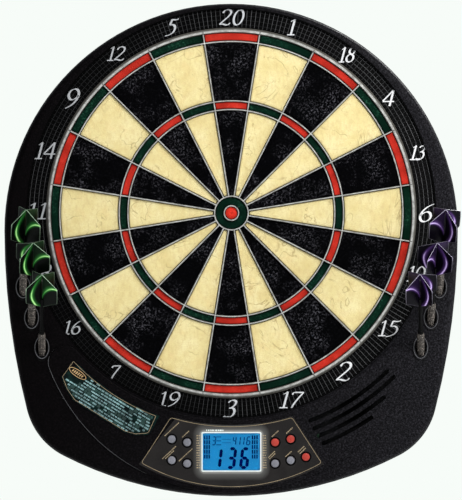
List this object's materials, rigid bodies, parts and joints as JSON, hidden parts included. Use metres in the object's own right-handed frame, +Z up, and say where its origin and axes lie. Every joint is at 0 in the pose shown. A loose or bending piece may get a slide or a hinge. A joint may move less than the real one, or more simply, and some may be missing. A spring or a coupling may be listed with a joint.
{
  "type": "electronic dartboard",
  "caption": "Electronic dartboard: a wall cabinet with a moving-segment target, an LCD scorer with push buttons, and soft-tip darts stored in tilted sockets.",
  "frame": {"origin": "on the wall plane, on the rear cover's outer face, straight behind the middle of the bull", "axes": "+Z up, +Y into the wall, so the target faces -Y; +X to the right as seen by a player"},
  "size_m": [0.495, 0.1065, 0.5375],
  "materials": {
    "casing_black": "fine pebbled moulding, black",
    "casing_charcoal": "fine pebbled moulding, charcoal",
    "ring_black": "ribbed moulding, black",
    "spider_silver": "moulded silver-grey, satin",
    "target_black": "bristle-look moulding, black with grey flecks",
    "target_cream": "bristle-look moulding, cream with fine cracks",
    "target_red": "bristle-look moulding, red",
    "target_green": "bristle-look moulding, dark green",
    "hardboard": "raw board",
    "membrane_film": "printed switch film",
    "rubber_black": "plain sheet",
    "panel_dark": "screen-printed film, satin",
    "panel_glow": "printed pale glow round the display",
    "gold_print": "thin gold print",
    "white_print": "silver-white numbers",
    "legend_green": "printed film, dark teal",
    "legend_print": "pale teal print",
    "window_clear": "clear acrylic",
    "lcd_blue": "backlit blue display",
    "lcd_ink": "dark navy display digits",
    "lamp_white": "white diffuser",
    "board_green": "solder-masked board",
    "silicone_grey": "translucent silicone",
    "speaker_black": "pressed basket and paper cone",
    "ribbon_white": "flat ribbon",
    "contact_nickel": "plated spring steel",
    "battery_jacket": "printed jacket, plain",
    "socket_black": "moulded, slightly worn",
    "screw_steel": "zinc plated",
    "button_grey": "satin grey",
    "button_red": "satin orange-red",
    "dart_metal": "turned and knurled, dark",
    "dart_shaft": "black nylon",
    "dart_tip": "soft plastic tip",
    "flight_green": "thin film, bright green streaks on black",
    "flight_purple": "thin film, violet streaks on black"
  },
  "bodies": {
    "root": {"rear_cover": "casing_black", "front_housing": "casing_charcoal", "number_ring": "ring_black", "target_rim": "spider_silver", "spider": "spider_silver", "backing_plate": "hardboard", "membrane_matrix": "membrane_film", "rubber_sheet": "rubber_black", "control_panel": "panel_dark", "legend_plate": "legend_green", "lcd_window": "window_clear", "lcd_glass": "lcd_blue", "backlight_panel": "lamp_white", "main_board": "board_green", "button_mat": "silicone_grey", "speaker": "speaker_black", "ribbon_cables": "ribbon_white", "battery_contacts": "contact_nickel", "batteries": "battery_jacket", "dart_sockets": "socket_black", "housing_screws": "screw_steel", "inner_screws": "screw_steel"},
    "battery_door": {"battery_door": "casing_black"},
    "button_top_outer_left": {"button_top_outer_left": "button_grey"},
    "button_top_inner_left": {"button_top_inner_left": "button_grey"},
    "button_low_outer_left": {"button_low_outer_left": "button_grey"},
    "button_low_inner_left": {"button_low_inner_left": "button_grey"},
    "button_top_inner_right": {"button_top_inner_right": "button_red"},
    "button_top_outer_right": {"button_top_outer_right": "button_red"},
    "button_low_inner_right": {"button_low_inner_right": "button_grey"},
    "button_low_outer_right": {"button_low_outer_right": "button_grey"},
    "button_power": {"button_power": "button_red"},
    "dart_left_top": {"dart_left_top": "dart_metal"},
    "dart_left_middle": {"dart_left_middle": "dart_metal"},
    "dart_left_bottom": {"dart_left_bottom": "dart_metal"},
    "dart_right_top": {"dart_right_top": "dart_metal"},
    "dart_right_middle": {"dart_right_middle": "dart_metal"},
    "dart_right_bottom": {"dart_right_bottom": "dart_metal"},
    "segments_20": {"segments_20": "target_black"},
    "segments_1": {"segments_1": "target_cream"},
    "segments_18": {"segments_18": "target_black"},
    "segments_4": {"segments_4": "target_cream"},
    "segments_13": {"segments_13": "target_black"},
    "segments_6": {"segments_6": "target_cream"},
    "segments_10": {"segments_10": "target_black"},
    "segments_15": {"segments_15": "target_cream"},
    "segments_2": {"segments_2": "target_black"},
    "segments_17": {"segments_17": "target_cream"},
    "segments_3": {"segments_3": "target_black"},
    "segments_19": {"segments_19": "target_cream"},
    "segments_7": {"segments_7": "target_black"},
    "segments_16": {"segments_16": "target_cream"},
    "segments_8": {"segments_8": "target_black"},
    "segments_11": {"segments_11": "target_cream"},
    "segments_14": {"segments_14": "target_black"},
    "segments_9": {"segments_9": "target_cream"},
    "segments_12": {"segments_12": "target_black"},
    "segments_5": {"segments_5": "target_cream"},
    "outer_bull": {"outer_bull": "target_green"},
    "inner_bull": {"inner_bull": "target_red"}
  },
  "joints": [
    {"name": "segments_20_press", "type": "slide", "parent": "root", "child": "segments_20", "axis": [0, 1, 0], "range_m": [0, 0.0015], "stiffness_N_per_m": 400, "springref_m": -0.001},
    {"name": "segments_1_press", "type": "slide", "parent": "root", "child": "segments_1", "axis": [0, 1, 0], "range_m": [0, 0.0015], "stiffness_N_per_m": 400, "springref_m": -0.001},
    {"name": "segments_18_press", "type": "slide", "parent": "root", "child": "segments_18", "axis": [0, 1, 0], "range_m": [0, 0.0015], "stiffness_N_per_m": 400, "springref_m": -0.001},
    {"name": "segments_4_press", "type": "slide", "parent": "root", "child": "segments_4", "axis": [0, 1, 0], "range_m": [0, 0.0015], "stiffness_N_per_m": 400, "springref_m": -0.001},
    {"name": "segments_13_press", "type": "slide", "parent": "root", "child": "segments_13", "axis": [0, 1, 0], "range_m": [0, 0.0015], "stiffness_N_per_m": 400, "springref_m": -0.001},
    {"name": "segments_6_press", "type": "slide", "parent": "root", "child": "segments_6", "axis": [0, 1, 0], "range_m": [0, 0.0015], "stiffness_N_per_m": 400, "springref_m": -0.001},
    {"name": "segments_10_press", "type": "slide", "parent": "root", "child": "segments_10", "axis": [0, 1, 0], "range_m": [0, 0.0015], "stiffness_N_per_m": 400, "springref_m": -0.001},
    {"name": "segments_15_press", "type": "slide", "parent": "root", "child": "segments_15", "axis": [0, 1, 0], "range_m": [0, 0.0015], "stiffness_N_per_m": 400, "springref_m": -0.001},
    {"name": "segments_2_press", "type": "slide", "parent": "root", "child": "segments_2", "axis": [0, 1, 0], "range_m": [0, 0.0015], "stiffness_N_per_m": 400, "springref_m": -0.001},
    {"name": "segments_17_press", "type": "slide", "parent": "root", "child": "segments_17", "axis": [0, 1, 0], "range_m": [0, 0.0015], "stiffness_N_per_m": 400, "springref_m": -0.001},
    {"name": "segments_3_press", "type": "slide", "parent": "root", "child": "segments_3", "axis": [0, 1, 0], "range_m": [0, 0.0015], "stiffness_N_per_m": 400, "springref_m": -0.001},
    {"name": "segments_19_press", "type": "slide", "parent": "root", "child": "segments_19", "axis": [0, 1, 0], "range_m": [0, 0.0015], "stiffness_N_per_m": 400, "springref_m": -0.001},
    {"name": "segments_7_press", "type": "slide", "parent": "root", "child": "segments_7", "axis": [0, 1, 0], "range_m": [0, 0.0015], "stiffness_N_per_m": 400, "springref_m": -0.001},
    {"name": "segments_16_press", "type": "slide", "parent": "root", "child": "segments_16", "axis": [0, 1, 0], "range_m": [0, 0.0015], "stiffness_N_per_m": 400, "springref_m": -0.001},
    {"name": "segments_8_press", "type": "slide", "parent": "root", "child": "segments_8", "axis": [0, 1, 0], "range_m": [0, 0.0015], "stiffness_N_per_m": 400, "springref_m": -0.001},
    {"name": "segments_11_press", "type": "slide", "parent": "root", "child": "segments_11", "axis": [0, 1, 0], "range_m": [0, 0.0015], "stiffness_N_per_m": 400, "springref_m": -0.001},
    {"name": "segments_14_press", "type": "slide", "parent": "root", "child": "segments_14", "axis": [0, 1, 0], "range_m": [0, 0.0015], "stiffness_N_per_m": 400, "springref_m": -0.001},
    {"name": "segments_9_press", "type": "slide", "parent": "root", "child": "segments_9", "axis": [0, 1, 0], "range_m": [0, 0.0015], "stiffness_N_per_m": 400, "springref_m": -0.001},
    {"name": "segments_12_press", "type": "slide", "parent": "root", "child": "segments_12", "axis": [0, 1, 0], "range_m": [0, 0.0015], "stiffness_N_per_m": 400, "springref_m": -0.001},
    {"name": "segments_5_press", "type": "slide", "parent": "root", "child": "segments_5", "axis": [0, 1, 0], "range_m": [0, 0.0015], "stiffness_N_per_m": 400, "springref_m": -0.001},
    {"name": "outer_bull_press", "type": "slide", "parent": "root", "child": "outer_bull", "axis": [0, 1, 0], "range_m": [0, 0.0015], "stiffness_N_per_m": 300, "springref_m": -0.001},
    {"name": "inner_bull_press", "type": "slide", "parent": "root", "child": "inner_bull", "axis": [0, 1, 0], "range_m": [0, 0.0015], "stiffness_N_per_m": 300, "springref_m": -0.001},
    {"name": "button_top_outer_left_press", "type": "slide", "parent": "root", "child": "button_top_outer_left", "axis": [0, 1, 0], "range_m": [0, 0.0012], "stiffness_N_per_m": 300, "springref_m": -0.0005},
    {"name": "button_top_inner_left_press", "type": "slide", "parent": "root", "child": "button_top_inner_left", "axis": [0, 1, 0], "range_m": [0, 0.0012], "stiffness_N_per_m": 300, "springref_m": -0.0005},
    {"name": "button_low_outer_left_press", "type": "slide", "parent": "root", "child": "button_low_outer_left", "axis": [0, 1, 0], "range_m": [0, 0.0012], "stiffness_N_per_m": 300, "springref_m": -0.0005},
    {"name": "button_low_inner_left_press", "type": "slide", "parent": "root", "child": "button_low_inner_left", "axis": [0, 1, 0], "range_m": [0, 0.0012], "stiffness_N_per_m": 300, "springref_m": -0.0005},
    {"name": "button_top_inner_right_press", "type": "slide", "parent": "root", "child": "button_top_inner_right", "axis": [0, 1, 0], "range_m": [0, 0.0012], "stiffness_N_per_m": 300, "springref_m": -0.0005},
    {"name": "button_top_outer_right_press", "type": "slide", "parent": "root", "child": "button_top_outer_right", "axis": [0, 1, 0], "range_m": [0, 0.0012], "stiffness_N_per_m": 300, "springref_m": -0.0005},
    {"name": "button_low_inner_right_press", "type": "slide", "parent": "root", "child": "button_low_inner_right", "axis": [0, 1, 0], "range_m": [0, 0.0012], "stiffness_N_per_m": 300, "springref_m": -0.0005},
    {"name": "button_low_outer_right_press", "type": "slide", "parent": "root", "child": "button_low_outer_right", "axis": [0, 1, 0], "range_m": [0, 0.0012], "stiffness_N_per_m": 300, "springref_m": -0.0005},
    {"name": "button_power_press", "type": "slide", "parent": "root", "child": "button_power", "axis": [0, 1, 0], "range_m": [0, 0.0012], "stiffness_N_per_m": 300, "springref_m": -0.0005},
    {"name": "dart_left_top_slide", "type": "slide", "parent": "root", "child": "dart_left_top", "axis": [0, -0.6428, 0.766], "range_m": [0, 0.12]},
    {"name": "dart_left_middle_slide", "type": "slide", "parent": "root", "child": "dart_left_middle", "axis": [0, -0.6428, 0.766], "range_m": [0, 0.12]},
    {"name": "dart_left_bottom_slide", "type": "slide", "parent": "root", "child": "dart_left_bottom", "axis": [0, -0.6428, 0.766], "range_m": [0, 0.12]},
    {"name": "dart_right_top_slide", "type": "slide", "parent": "root", "child": "dart_right_top", "axis": [0, -0.6428, 0.766], "range_m": [0, 0.12]},
    {"name": "dart_right_middle_slide", "type": "slide", "parent": "root", "child": "dart_right_middle", "axis": [0, -0.6428, 0.766], "range_m": [0, 0.12]},
    {"name": "dart_right_bottom_slide", "type": "slide", "parent": "root", "child": "dart_right_bottom", "axis": [0, -0.6428, 0.766], "range_m": [0, 0.12]},
    {"name": "battery_door_hinge", "type": "hinge", "parent": "root", "child": "battery_door", "pos_m": [-0.132, 0, -0.2139], "axis": [1, 0, 0], "range_deg": [0, 75]}
  ]
}
